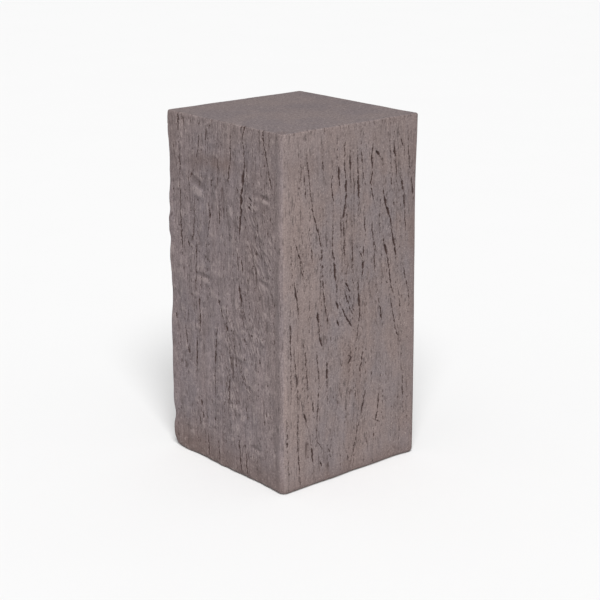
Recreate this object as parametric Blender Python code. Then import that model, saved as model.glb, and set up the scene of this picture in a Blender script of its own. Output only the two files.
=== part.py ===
"""Squared block pedestal of weathered timber, in metres, +Z up.

The origin is at the middle of the flat underside. Seen from above, the faces run anticlockwise
from the front corner: front (facing -Y), right (+X), back (+Y) and left (-X). The left face is
rough and hewn, the front face smoother and split by drying checks, and the top is flat.
"""

import math

import bmesh
import bpy
import numpy as np

# Overall sizes, over the high points of the faces
BLOCK_WIDTH = 0.304
BLOCK_DEPTH = 0.310
BLOCK_HEIGHT = 0.610

# How far the high points stand above the mean faces
HEWING_ALLOWANCE = 0.003

# Roundings of the four vertical corners, each named by its place seen from above
FRONT_CORNER_RADIUS = 0.011
RIGHT_CORNER_RADIUS = 0.005
FAR_CORNER_RADIUS = 0.006
LEFT_CORNER_RADIUS = 0.006

# Roundings where the faces meet the top and the underside
TOP_EDGE_RADIUS = 0.003
FOOT_RADIUS = 0.009

# Unevenness of each face, front, right, back and left, and the length of its waves
FACE_UNEVENNESS = (0.0004, 0.0005, 0.0006, 0.0010)
WAVE_ACROSS_GRAIN = 0.10
WAVE_ALONG_GRAIN = 0.30
WAVE_SPREAD = (0.6, 1.5)
WAVES = 14
WAVE_SEED = 7

# How far a bump or worn place on a vertical corner spreads over the faces beside it
CORNER_BUMP_SPREAD = 0.014

# Long shallow hollow on the left face beside the front corner
HOLLOW_SETBACK = 0.020
HOLLOW_WIDTH = 0.015
HOLLOW_DEPTH = 0.0022

# Drying checks: V-shaped splits along the grain, their widths at the surface and their depth
WIDE_CHECK = 0.0042
MIDDLE_CHECK = 0.0032
CHECK_DEPTH = 0.0055
CHECK_END_SHARE = 0.12
CUTTER_REACH = 0.004

# Fineness of the mesh: columns on each face, rows up the height, steps round each rounding and
# along each check; the columns crowd towards the corners
FACE_COLUMNS = (18, 10, 10, 22)
BODY_ROWS = 44
CORNER_STEPS = 4
FOOT_STEPS = 3
TOP_STEPS = 2
CHECK_STEPS = 5
COLUMN_CROWDING = 0.45

TIMBER_COLOUR = (0.235, 0.201, 0.183, 1.0)
TIMBER_ROUGHNESS = 0.85

FRONT, RIGHT, BACK, LEFT = range(4)

# Bumps (+) and worn places (-) on the vertical corners where the given face begins:
# face, share of the height, amount in metres, half length in metres
CORNER_BUMPS = (
    (LEFT, 1.000, -0.0015, 0.008),
    (LEFT, 0.910, -0.0022, 0.030),
    (LEFT, 0.750, 0.0030, 0.016),
    (LEFT, 0.675, 0.0095, 0.012),
    (LEFT, 0.580, 0.0040, 0.014),
    (LEFT, 0.355, 0.0050, 0.030),
    (LEFT, 0.235, 0.0060, 0.028),
    (LEFT, 0.150, 0.0045, 0.016),
    (LEFT, 0.055, 0.0060, 0.012),
    (LEFT, 0.000, -0.0030, 0.009),
    (RIGHT, 0.250, 0.0035, 0.120),
    (RIGHT, 0.060, 0.0040, 0.070),
)

# Dents (-) and swellings (+) on the faces: face, share of the width from its left edge as seen,
# share of the height, half width, half height and amount in metres
DENTS = (
    (LEFT, 0.275, 0.822, 0.014, 0.007, -0.0018),
    (LEFT, 0.300, 0.790, 0.020, 0.010, 0.0012),
    (LEFT, 0.300, 0.548, 0.020, 0.008, -0.0018),
    (LEFT, 0.860, 0.822, 0.014, 0.007, -0.0014),
    (LEFT, 0.850, 0.575, 0.013, 0.008, -0.0014),
    (LEFT, 0.700, 0.310, 0.022, 0.028, 0.0014),
    (LEFT, 0.600, 0.460, 0.030, 0.060, -0.0012),
    (LEFT, 0.120, 0.420, 0.016, 0.070, 0.0012),
    (FRONT, 0.470, 0.480, 0.022, 0.040, -0.0008),
    (FRONT, 0.590, 0.620, 0.007, 0.014, 0.0010),
)

# The main checks: face, share of the width at the top end, shares of the height at the top and
# bottom ends, lean (how far the bottom end moves across, in metres), sideways bow and width
CHECKS = (
    (FRONT, 0.403, 0.890, 0.845, 0.003, 0.001, WIDE_CHECK),
    (FRONT, 0.457, 0.852, 0.752, -0.006, 0.003, WIDE_CHECK),
    (FRONT, 0.488, 0.912, 0.884, 0.001, 0.000, MIDDLE_CHECK),
    (FRONT, 0.552, 0.850, 0.790, 0.003, 0.000, MIDDLE_CHECK),
    (FRONT, 0.650, 0.908, 0.858, 0.001, 0.000, MIDDLE_CHECK),
    (FRONT, 0.818, 0.926, 0.900, 0.003, 0.000, WIDE_CHECK),
    (FRONT, 0.745, 0.795, 0.715, 0.011, 0.000, WIDE_CHECK),
    (FRONT, 0.824, 0.662, 0.604, 0.006, 0.000, WIDE_CHECK),
    (FRONT, 0.748, 0.652, 0.574, 0.013, 0.002, WIDE_CHECK),
    (FRONT, 0.365, 0.650, 0.560, 0.009, 0.001, WIDE_CHECK),
    (FRONT, 0.434, 0.492, 0.430, 0.021, -0.002, WIDE_CHECK),
    (FRONT, 0.548, 0.560, 0.432, 0.004, 0.004, WIDE_CHECK),
    (FRONT, 0.253, 0.490, 0.450, 0.003, 0.000, WIDE_CHECK),
    (FRONT, 0.268, 0.424, 0.400, 0.006, 0.000, WIDE_CHECK),
    (FRONT, 0.053, 0.470, 0.425, 0.001, 0.000, MIDDLE_CHECK),
    (FRONT, 0.086, 0.585, 0.545, 0.004, 0.000, MIDDLE_CHECK),
    (FRONT, 0.325, 0.335, 0.298, 0.000, 0.000, MIDDLE_CHECK),
    (FRONT, 0.620, 0.236, 0.176, -0.009, 0.000, MIDDLE_CHECK),
    (FRONT, 0.205, 0.106, 0.068, 0.004, 0.000, WIDE_CHECK),
    (FRONT, 0.104, 0.120, 0.034, 0.006, 0.000, MIDDLE_CHECK),
    (LEFT, 0.686, 0.885, 0.824, -0.008, 0.001, WIDE_CHECK),
    (LEFT, 0.655, 0.806, 0.777, -0.001, 0.000, WIDE_CHECK),
    (LEFT, 0.620, 0.556, 0.500, 0.006, 0.000, WIDE_CHECK),
    (LEFT, 0.226, 0.560, 0.505, -0.001, 0.000, MIDDLE_CHECK),
    (LEFT, 0.248, 0.482, 0.410, 0.002, 0.000, MIDDLE_CHECK),
    (LEFT, 0.104, 0.730, 0.620, 0.002, 0.000, MIDDLE_CHECK),
    (LEFT, 0.220, 0.345, 0.276, -0.001, 0.000, MIDDLE_CHECK),
    (LEFT, 0.312, 0.062, -0.010, 0.003, 0.000, MIDDLE_CHECK),
    (LEFT, 0.424, 0.062, -0.010, 0.002, 0.000, MIDDLE_CHECK),
    (LEFT, 0.616, 0.085, -0.010, 0.005, 0.000, MIDDLE_CHECK),
    (LEFT, 0.672, 0.075, -0.010, 0.004, 0.000, MIDDLE_CHECK),
    (LEFT, 0.105, 1.010, 0.960, 0.000, 0.000, MIDDLE_CHECK),
    (LEFT, 0.540, 1.010, 0.975, 0.000, 0.000, MIDDLE_CHECK),
    (LEFT, 0.850, 1.010, 0.960, 0.001, 0.000, MIDDLE_CHECK),
)

# Each face runs along one direction and looks out along another
ALONG = np.array([(1, 0), (0, 1), (-1, 0), (0, -1)], dtype=float)
OUTWARD = np.array([(0, -1), (1, 0), (0, 1), (-1, 0)], dtype=float)
CORNER_RADII = (FRONT_CORNER_RADIUS, RIGHT_CORNER_RADIUS, FAR_CORNER_RADIUS, LEFT_CORNER_RADIUS)
MEAN_SIZES = (BLOCK_WIDTH - 2 * HEWING_ALLOWANCE, BLOCK_DEPTH - 2 * HEWING_ALLOWANCE)


def face_length(face):
    """Width of a mean face, from corner to corner before rounding."""
    return MEAN_SIZES[face % 2]


def face_start(face):
    """The square corner where a mean face begins."""
    return (OUTWARD[face] - ALONG[face]) * np.array(MEAN_SIZES) / 2


def bell(distance, half_width):
    """A smooth bump of height 1, nearly gone at twice its half width."""
    return np.exp2(-((distance / half_width) ** 2))


def swell(points):
    """Smooth unevenness, mostly within -2 to 2, from sine waves that are long up the grain."""
    chance = np.random.default_rng(WAVE_SEED)
    total = np.zeros(len(points))
    for _ in range(WAVES):
        turn = chance.uniform(0, 2 * math.pi)
        quickness = 2 * math.pi * chance.uniform(*WAVE_SPREAD)
        across = quickness / WAVE_ACROSS_GRAIN
        up = quickness / WAVE_ALONG_GRAIN * chance.choice((-1, 1))
        wave = np.array([math.cos(turn) * across, math.sin(turn) * across, up])
        total += np.sin(points @ wave + chance.uniform(0, 2 * math.pi))
    return total / math.sqrt(WAVES / 2)


def stand_out(points, normals):
    """How far the real surface stands out from the mean faces, at points on them."""
    facing = np.maximum(normals @ OUTWARD.T, 0) ** 2
    height = points[:, 2]
    out = facing @ np.array(FACE_UNEVENNESS) * swell(points)
    for face, level, amount, half_length in CORNER_BUMPS:
        distance = np.linalg.norm(points[:, :2] - face_start(face), axis=1)
        reach = bell(distance, CORNER_BUMP_SPREAD)
        out += amount * reach * bell(height - level * BLOCK_HEIGHT, half_length)
    for face, share, level, half_width, half_height, amount in DENTS:
        across = (points[:, :2] - face_start(face)) @ ALONG[face]
        reach = facing[:, face] * bell(across - share * face_length(face), half_width)
        out += amount * reach * bell(height - level * BLOCK_HEIGHT, half_height)
    setback = (points[:, :2] - face_start(FRONT)) @ -ALONG[LEFT]
    out -= HOLLOW_DEPTH * facing[:, LEFT] * bell(setback - HOLLOW_SETBACK, HOLLOW_WIDTH / 2)
    return HEWING_ALLOWANCE * np.tanh(out / HEWING_ALLOWANCE)


def outline():
    """Places and outward directions round the mean block, with its vertical corners rounded."""
    places = []
    directions = []
    for face in range(4):
        radius = CORNER_RADII[face]
        before = OUTWARD[face - 1]
        centre = face_start(face) + radius * (ALONG[face] - OUTWARD[face])
        for turn in np.linspace(0, math.pi / 2, CORNER_STEPS + 1):
            direction = math.cos(turn) * before + math.sin(turn) * OUTWARD[face]
            places.append(centre + radius * direction)
            directions.append(direction)
        straight = face_length(face) - radius - CORNER_RADII[(face + 1) % 4]
        for share in np.arange(1, FACE_COLUMNS[face]) / FACE_COLUMNS[face]:
            crowded = share - COLUMN_CROWDING * math.sin(2 * math.pi * share) / (2 * math.pi)
            places.append(centre + radius * OUTWARD[face] + crowded * straight * ALONG[face])
            directions.append(OUTWARD[face])
    return np.array(places), np.array(directions)


def rows():
    """Height of each row of points and how far the edge roundings draw it in."""
    shoulder = BLOCK_HEIGHT - TOP_EDGE_RADIUS
    made = []
    for turn in np.linspace(math.pi / 2, 0, FOOT_STEPS + 1)[:-1]:
        made.append((FOOT_RADIUS * (1 - math.sin(turn)), FOOT_RADIUS * (1 - math.cos(turn))))
    for height in np.linspace(FOOT_RADIUS, shoulder, BODY_ROWS):
        made.append((height, 0.0))
    for turn in np.linspace(0, math.pi / 2, TOP_STEPS + 1)[1:]:
        lift = TOP_EDGE_RADIUS * math.sin(turn)
        made.append((shoulder + lift, TOP_EDGE_RADIUS * (1 - math.cos(turn))))
    return made


def timber_material():
    """Grey-brown weathered timber."""
    material = bpy.data.materials.new("weathered_timber")
    material.use_nodes = True
    shader = material.node_tree.nodes["Principled BSDF"]
    shader.inputs["Base Color"].default_value = TIMBER_COLOUR
    shader.inputs["Roughness"].default_value = TIMBER_ROUGHNESS
    shader.inputs["Metallic"].default_value = 0.0
    return material


def mesh_object(name, shape):
    """Puts a bmesh into the scene as a named object."""
    mesh = bpy.data.meshes.new(name)
    shape.to_mesh(mesh)
    shape.free()
    thing = bpy.data.objects.new(name, mesh)
    bpy.context.scene.collection.objects.link(thing)
    return thing


def block():
    """The whole hewn block, before its checks are cut."""
    places, directions = outline()
    shape = bmesh.new()
    rings = []
    for z, inset in rows():
        points = np.column_stack([places, np.full(len(places), z)])
        reach = stand_out(points, directions) - inset
        points[:, :2] += directions * reach[:, None]
        rings.append([shape.verts.new(point) for point in points])
    for lower, upper in zip(rings, rings[1:]):
        for i in range(len(lower)):
            j = (i + 1) % len(lower)
            shape.faces.new((lower[i], lower[j], upper[j], upper[i]))
    shape.faces.new(rings[0][::-1])
    shape.faces.new(rings[-1])
    bmesh.ops.triangulate(shape, faces=shape.faces[:])
    return mesh_object("pedestal", shape)


def add_wedge(shape, face, share, top, bottom, lean, bow, width):
    """One check's cutter: a V along the grain, widest in the middle, its root inside the block."""
    rings = []
    for t in np.linspace(0, 1, CHECK_STEPS + 1):
        across = share * face_length(face) + lean * t + bow * math.sin(math.pi * t)
        height = (top + (bottom - top) * t) * BLOCK_HEIGHT
        place = face_start(face) + ALONG[face] * across
        point = np.array([[place[0], place[1], height]])
        surface = stand_out(point, OUTWARD[face][None])[0]
        fullness = CHECK_END_SHARE + (1 - CHECK_END_SHARE) * math.sin(math.pi * t)
        depth = CHECK_DEPTH * fullness
        half_width = width / 2 * fullness * (depth + CUTTER_REACH) / depth
        ring = []
        for side, out in ((-half_width, CUTTER_REACH), (half_width, CUTTER_REACH), (0, -depth)):
            corner = place + ALONG[face] * side + OUTWARD[face] * (surface + out)
            ring.append(shape.verts.new((corner[0], corner[1], height)))
        rings.append(ring)
    for upper, lower in zip(rings, rings[1:]):
        for i in range(3):
            j = (i + 1) % 3
            shape.faces.new((upper[i], upper[j], lower[j], lower[i]))
    shape.faces.new(rings[0][::-1])
    shape.faces.new(rings[-1])


def check_cutter():
    """All the check cutters together, hidden from the finished model."""
    shape = bmesh.new()
    for check in CHECKS:
        add_wedge(shape, *check)
    bmesh.ops.triangulate(shape, faces=shape.faces[:])
    bmesh.ops.recalc_face_normals(shape, faces=shape.faces[:])
    cutter = mesh_object("check_cutter", shape)
    cutter.hide_render = True
    cutter.display_type = "WIRE"
    return cutter


def build():
    """Clears the scene and makes the pedestal."""
    for thing in list(bpy.data.objects):
        bpy.data.objects.remove(thing, do_unlink=True)
    pedestal = block()
    pedestal.data.materials.append(timber_material())
    cut = pedestal.modifiers.new("checks", "BOOLEAN")
    cut.operation = "DIFFERENCE"
    cut.solver = "EXACT"
    cut.object = check_cutter()


build()
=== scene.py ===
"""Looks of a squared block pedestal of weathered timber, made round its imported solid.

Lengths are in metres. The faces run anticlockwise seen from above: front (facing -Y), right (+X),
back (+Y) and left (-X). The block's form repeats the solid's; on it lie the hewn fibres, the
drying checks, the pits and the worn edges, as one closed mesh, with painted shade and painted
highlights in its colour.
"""

import itertools
import math

import bpy
import numpy as np
from mathutils import Matrix, Vector


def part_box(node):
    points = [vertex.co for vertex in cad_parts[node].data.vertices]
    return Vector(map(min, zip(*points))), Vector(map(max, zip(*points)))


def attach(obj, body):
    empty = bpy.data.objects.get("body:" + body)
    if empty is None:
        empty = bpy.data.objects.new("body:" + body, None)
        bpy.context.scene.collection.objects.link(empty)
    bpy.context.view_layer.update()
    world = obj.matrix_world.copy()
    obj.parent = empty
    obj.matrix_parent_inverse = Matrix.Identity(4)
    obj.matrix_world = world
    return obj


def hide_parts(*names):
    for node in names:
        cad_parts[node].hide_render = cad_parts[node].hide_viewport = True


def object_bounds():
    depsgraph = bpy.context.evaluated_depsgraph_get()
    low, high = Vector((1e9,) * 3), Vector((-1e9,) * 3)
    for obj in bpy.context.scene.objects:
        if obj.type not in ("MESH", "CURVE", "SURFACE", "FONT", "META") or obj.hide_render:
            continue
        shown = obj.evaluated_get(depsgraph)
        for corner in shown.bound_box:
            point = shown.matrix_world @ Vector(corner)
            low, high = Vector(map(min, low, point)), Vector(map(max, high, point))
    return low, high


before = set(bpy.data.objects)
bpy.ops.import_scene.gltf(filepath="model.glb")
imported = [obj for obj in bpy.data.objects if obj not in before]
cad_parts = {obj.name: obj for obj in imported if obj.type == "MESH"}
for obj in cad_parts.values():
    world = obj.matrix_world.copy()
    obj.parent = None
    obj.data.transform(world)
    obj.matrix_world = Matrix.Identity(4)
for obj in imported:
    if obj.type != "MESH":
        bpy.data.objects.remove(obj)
cad_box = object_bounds()

NODE = "pedestal"
FRONT, RIGHT, BACK, LEFT = range(4)

# The solid's form, with the same values as the solid
BLOCK_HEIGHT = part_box(NODE)[1][2]
MEAN_SIZES = (0.298, 0.304)
HEWING_ALLOWANCE = 0.003
CORNER_RADII = (0.011, 0.005, 0.006, 0.006)
TOP_EDGE_RADIUS = 0.003
FOOT_RADIUS = 0.009
FACE_UNEVENNESS = (0.0004, 0.0005, 0.0006, 0.0010)
WAVE_ACROSS_GRAIN = 0.10
WAVE_ALONG_GRAIN = 0.30
WAVE_SPREAD = (0.6, 1.5)
WAVES = 14
WAVE_SEED = 7
CORNER_BUMP_SPREAD = 0.014
HOLLOW_SETBACK = 0.020
HOLLOW_WIDTH = 0.015
HOLLOW_DEPTH = 0.0022

# Bumps (+) and worn places (-) on the vertical corners where the given face begins:
# face, share of the height, amount and half length
CORNER_BUMPS = (
    (LEFT, 1.000, -0.0015, 0.008),
    (LEFT, 0.910, -0.0022, 0.030),
    (LEFT, 0.750, 0.0030, 0.016),
    (LEFT, 0.675, 0.0095, 0.012),
    (LEFT, 0.580, 0.0040, 0.014),
    (LEFT, 0.355, 0.0050, 0.030),
    (LEFT, 0.235, 0.0060, 0.028),
    (LEFT, 0.150, 0.0045, 0.016),
    (LEFT, 0.055, 0.0060, 0.012),
    (LEFT, 0.000, -0.0030, 0.009),
    (RIGHT, 0.250, 0.0035, 0.120),
    (RIGHT, 0.060, 0.0040, 0.070),
)

# Dents (-) and swellings (+): face, share of the width from its left edge as seen, share of the
# height, half width, half height and amount
DENTS = (
    (LEFT, 0.275, 0.822, 0.014, 0.007, -0.0018),
    (LEFT, 0.300, 0.790, 0.020, 0.010, 0.0012),
    (LEFT, 0.300, 0.548, 0.020, 0.008, -0.0018),
    (LEFT, 0.860, 0.822, 0.014, 0.007, -0.0014),
    (LEFT, 0.850, 0.575, 0.013, 0.008, -0.0014),
    (LEFT, 0.700, 0.310, 0.022, 0.028, 0.0014),
    (LEFT, 0.600, 0.460, 0.030, 0.060, -0.0012),
    (LEFT, 0.120, 0.420, 0.016, 0.070, 0.0012),
    (FRONT, 0.470, 0.480, 0.022, 0.040, -0.0008),
    (FRONT, 0.590, 0.620, 0.007, 0.014, 0.0010),
)

# Widths of the drying checks at the surface, and the depth and darkness of each; the darkness is painted
# shade inside the check
OPEN, BROAD, WIDE, MIDDLE, FINE, THIN, FAINT = 0.0120, 0.0084, 0.0057, 0.0039, 0.0030, 0.0024, 0.0020
CHECK_CUTS = {
    OPEN: (0.0050, 1.0),
    BROAD: (0.0046, 1.0),
    WIDE: (0.0042, 1.0),
    MIDDLE: (0.0030, 1.0),
    FINE: (0.0019, 0.94),
    THIN: (0.0011, 0.78),
    FAINT: (0.0007, 0.50),
}

# Checks: share of the face's width at the top end and shares of its height at the top and bottom
# ends, in thousandths, then lean (how far the bottom end moves across), width and any sideways bow,
# with lean and bow in tenths of a millimetre
FACE_PARTS = 1000
METRE_PARTS = 10000
FRONT_CHECKS = (
    (403, 892, 852, 22, BROAD), (409, 859, 831, -5, MIDDLE), (450, 957, 911, -15, FINE),
    (445, 911, 849, 35, FINE, -10), (456, 852, 816, 10, BROAD), (460, 816, 790, -20, WIDE),
    (453, 790, 761, -35, MIDDLE), (443, 767, 749, -10, BROAD), (487, 918, 872, 5, WIDE),
    (488, 872, 836, 15, THIN), (510, 879, 784, 20, THIN, 10), (540, 915, 882, 10, FINE),
    (544, 882, 859, 10, MIDDLE), (547, 859, 790, 25, BROAD), (555, 790, 738, -25, THIN),
    (570, 928, 882, 20, FINE), (577, 882, 839, 50, THIN), (658, 938, 911, -25, FINE),
    (649, 915, 866, 15, WIDE), (654, 866, 820, -25, MIDDLE), (646, 820, 777, 60, FINE),
    (679, 917, 900, 80, BROAD), (701, 903, 882, 80, THIN), (815, 931, 915, 10, MIDDLE),
    (819, 918, 890, 30, BROAD), (829, 890, 830, 30, FINE), (866, 938, 915, 60, MIDDLE),
    (785, 928, 885, 20, THIN), (926, 921, 849, 40, FINE), (936, 856, 848, 40, MIDDLE),
    (953, 825, 800, 30, MIDDLE), (963, 803, 774, 30, WIDE), (867, 836, 820, 25, THIN),
    (876, 825, 784, 60, MIDDLE), (896, 784, 738, 30, MIDDLE), (906, 738, 672, 30, FINE),
    (738, 810, 784, 20, FINE), (745, 787, 754, 60, BROAD), (762, 757, 728, 80, BROAD),
    (789, 731, 692, 55, MIDDLE), (807, 692, 659, 35, MIDDLE), (819, 666, 636, 40, BROAD),
    (832, 636, 607, 30, WIDE), (651, 718, 666, 50, MIDDLE), (668, 666, 646, 50, FINE),
    (674, 636, 574, 25, FINE), (745, 666, 649, 20, FINE), (752, 652, 616, 70, BROAD),
    (775, 616, 574, 50, MIDDLE), (792, 577, 528, 40, MIDDLE), (805, 528, 500, 70, FINE),
    (356, 669, 633, 50, MIDDLE), (372, 633, 574, 45, BROAD), (388, 574, 541, 25, FINE),
    (550, 561, 528, 20, MIDDLE), (557, 528, 485, 40, BROAD), (570, 485, 443, -20, MIDDLE, 5),
    (564, 443, 382, -60, THIN), (594, 659, 630, -20, MIDDLE), (553, 650, 622, 100, FINE),
    (589, 615, 593, -10, BROAD), (587, 593, 570, -10, FINE), (597, 741, 695, 15, MIDDLE),
    (181, 918, 869, 30, FINE), (191, 869, 803, 50, THIN), (208, 807, 767, 45, FINE),
    (223, 770, 748, 45, MIDDLE), (238, 748, 711, 70, MIDDLE), (262, 715, 679, 40, FINE),
    (275, 679, 639, 20, FINE), (352, 852, 828, 10, FINE), (356, 833, 797, 30, MIDDLE),
    (418, 761, 692, 15, FINE), (362, 746, 662, -10, THIN), (436, 741, 689, 30, FINE),
    (446, 689, 633, 15, FINE), (503, 715, 574, 40, THIN), (94, 705, 679, 60, FINE),
    (114, 679, 659, 40, MIDDLE), (128, 659, 633, 20, THIN), (134, 633, 603, 50, THIN),
    (205, 689, 643, 30, FINE), (289, 590, 564, 10, MIDDLE), (292, 557, 521, 40, MIDDLE),
    (305, 521, 485, 40, FINE), (84, 603, 577, 20, FINE), (90, 584, 545, 45, WIDE),
    (104, 548, 505, 30, FINE), (460, 567, 548, 60, WIDE), (480, 548, 538, 40, MIDDLE),
    (453, 538, 502, 100, MIDDLE), (477, 534, 505, 80, FINE), (478, 500, 470, 120, FINE),
    (500, 497, 475, 90, THIN), (386, 521, 495, 70, WIDE), (906, 570, 534, 60, MIDDLE),
    (926, 534, 508, 40, FINE), (792, 836, 810, 40, FINE), (815, 774, 746, 30, THIN),
    (765, 543, 534, 60, MIDDLE), (154, 889, 859, 10, FINE), (289, 915, 885, 10, FINE),
    (134, 928, 852, 0, THIN), (161, 852, 820, 20, FINE), (510, 656, 610, -20, THIN),
    (430, 500, 464, 110, MIDDLE), (466, 469, 434, 130, WIDE), (253, 502, 470, 25, BROAD),
    (262, 470, 430, 20, FINE), (266, 433, 401, 70, WIDE), (326, 489, 459, 10, FINE),
    (319, 354, 334, 20, MIDDLE), (326, 336, 303, -10, BROAD), (322, 303, 275, 10, THIN),
    (54, 492, 459, 5, FINE), (55, 462, 430, 5, MIDDLE), (57, 430, 380, 10, FINE),
    (60, 380, 303, 0, THIN), (87, 377, 351, 20, FINE), (94, 351, 302, 30, FINE),
    (104, 302, 246, 20, THIN), (111, 246, 161, -10, THIN), (107, 161, 108, 10, THIN),
    (111, 115, 46, 25, FINE), (119, 46, 10, 15, THIN), (161, 403, 351, 30, FINE),
    (171, 351, 282, 30, FINE), (248, 384, 351, 20, FINE), (255, 351, 295, 40, FINE),
    (260, 270, 254, -5, MIDDLE), (258, 254, 184, -30, FINE), (248, 184, 151, -10, THIN),
    (207, 119, 69, 45, WIDE), (30, 157, 138, 0, MIDDLE), (34, 115, 46, 15, THIN),
    (153, 226, 193, 55, WIDE), (215, 252, 216, 30, MIDDLE), (488, 356, 342, 80, FINE),
    (518, 350, 328, -120, WIDE), (502, 368, 354, 30, THIN), (591, 357, 328, -15, FINE),
    (586, 328, 295, -55, MIDDLE), (617, 239, 207, -35, MIDDLE), (606, 211, 175, -50, WIDE),
    (574, 157, 108, -70, THIN), (550, 108, 46, -100, THIN), (517, 46, 20, -30, FAINT),
    (591, 148, 102, -50, FAINT), (728, 220, 164, -35, MIDDLE), (716, 164, 133, -35, MIDDLE),
    (705, 136, 126, 90, MIDDLE), (913, 220, 177, 15, FINE), (913, 249, 220, 0, THIN),
    (718, 479, 459, 30, FINE), (725, 466, 430, 40, MIDDLE), (805, 492, 452, 60, FINE),
    (826, 452, 410, 55, FINE), (844, 410, 384, 45, FINE), (859, 385, 369, 50, MIDDLE),
    (537, 238, 226, 20, MIDDLE), (480, 59, 46, 30, MIDDLE), (396, 466, 446, 40, WIDE),
    (336, 98, 82, 30, FINE), (272, 69, 49, 40, MIDDLE), (950, 492, 472, 10, FINE),
    (879, 485, 446, 20, THIN), (235, 141, 98, 180, THIN), (688, 107, 79, -10, THIN),
)
LEFT_CHECKS = (
    (688, 1007, 961, -25, FINE), (679, 961, 908, 35, FINE), (691, 911, 875, -15, MIDDLE),
    (686, 884, 838, -45, OPEN), (671, 839, 810, -35, BROAD), (661, 815, 784, -10, OPEN),
    (658, 787, 757, -15, BROAD), (653, 761, 702, -25, BROAD), (612, 833, 820, 80, FINE),
    (661, 639, 598, 10, MIDDLE), (628, 656, 600, 0, FINE), (625, 559, 534, 10, BROAD),
    (628, 539, 508, 50, BROAD), (576, 957, 895, -30, FINE), (566, 895, 833, -60, FINE),
    (842, 1007, 967, 10, MIDDLE), (845, 967, 928, 70, FINE), (868, 931, 902, 50, MIDDLE),
    (885, 902, 849, 80, FINE), (112, 1007, 944, 0, MIDDLE), (158, 993, 964, 10, FINE),
    (122, 893, 820, -30, FINE), (112, 820, 721, -20, MIDDLE), (105, 721, 662, 30, MIDDLE),
    (115, 672, 620, 5, FINE), (252, 780, 718, -45, FINE), (237, 718, 633, -60, MIDDLE),
    (252, 649, 590, -15, MIDDLE), (247, 590, 544, -20, FINE), (240, 548, 498, -5, WIDE),
    (262, 492, 439, 25, MIDDLE), (270, 446, 397, 0, WIDE), (270, 397, 370, -20, FINE),
    (237, 364, 328, -10, MIDDLE), (234, 331, 275, -10, WIDE), (368, 774, 721, 20, FINE),
    (382, 741, 725, -10, WIDE), (375, 721, 685, -40, THIN), (467, 757, 711, -25, MIDDLE),
    (464, 748, 731, -10, WIDE), (526, 787, 721, 40, THIN), (546, 695, 685, 120, FINE),
    (296, 951, 911, -30, MIDDLE), (286, 911, 882, -50, FINE), (730, 815, 805, 70, BROAD),
    (737, 799, 791, 60, WIDE), (727, 789, 780, 80, BROAD), (408, 839, 813, -20, MIDDLE),
    (171, 643, 626, 30, WIDE), (270, 682, 656, 20, MIDDLE), (421, 385, 351, -20, MIDDLE),
    (414, 352, 302, -40, WIDE), (401, 302, 197, -10, THIN), (454, 502, 485, 10, WIDE),
    (467, 492, 439, 80, FINE), (510, 431, 415, 10, BROAD), (434, 418, 387, -40, FINE),
    (135, 393, 328, 50, FINE), (151, 328, 295, 40, FINE), (164, 298, 275, 200, THIN),
    (322, 85, 7, 35, MIDDLE), (428, 82, 7, 30, MIDDLE), (618, 111, 66, 20, MIDDLE),
    (625, 69, 10, 20, WIDE), (676, 82, 7, 25, MIDDLE), (273, 180, 161, -10, WIDE),
    (280, 146, 123, 10, WIDE), (316, 139, 126, 10, MIDDLE), (250, 128, 102, 20, MIDDLE),
    (388, 144, 134, 20, FINE), (743, 102, 93, 160, FINE), (855, 226, 213, 30, MIDDLE),
    (888, 220, 210, 40, FINE), (842, 200, 184, 20, MIDDLE), (46, 415, 398, 20, WIDE),
    (661, 411, 398, 40, WIDE), (684, 213, 200, 20, MIDDLE), (664, 311, 289, 100, FINE),
    (697, 289, 275, 160, FINE), (645, 495, 439, 50, FINE), (526, 500, 426, -30, THIN),
    (520, 275, 213, 40, FINE), (559, 410, 311, 120, THIN), (658, 500, 466, 40, FINE),
    (197, 852, 770, 10, THIN), (789, 770, 705, 60, THIN), (711, 918, 852, 20, FINE),
    (474, 918, 820, -30, THIN), (362, 984, 918, -20, THIN),
)
# Checks hardly open, and the curved ones round the swelling of the left face
FAINT_ON_FRONT = (
    (451, 757, 580, -75, FAINT, 15), (460, 708, 643, -30, FAINT), (503, 711, 580, 10, FAINT, 10),
    (362, 718, 659, -20, FAINT), (275, 711, 633, 40, FAINT, 5), (668, 613, 502, 110, FAINT, 10),
    (732, 613, 548, 0, FAINT), (812, 830, 770, 80, FAINT), (859, 882, 830, 60, FAINT),
    (134, 672, 600, 60, FAINT), (248, 672, 633, 80, FAINT), (430, 541, 502, 100, FAINT),
    (315, 738, 692, 10, FAINT), (564, 715, 672, 0, FAINT), (591, 577, 502, 40, FAINT, 10),
    (638, 541, 502, 60, FAINT), (772, 770, 715, 80, FAINT), (503, 410, 213, -100, FAINT, 30),
    (550, 311, 98, -160, FAINT, 30), (430, 311, 148, -180, FAINT, 30), (570, 262, 66, -100, FAINT, 20),
    (336, 475, 430, 40, FAINT), (691, 475, 410, -20, FAINT, 10), (879, 410, 328, 0, FAINT),
    (403, 374, 311, 140, FAINT), (188, 656, 557, 20, FAINT, 10),
)
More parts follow.
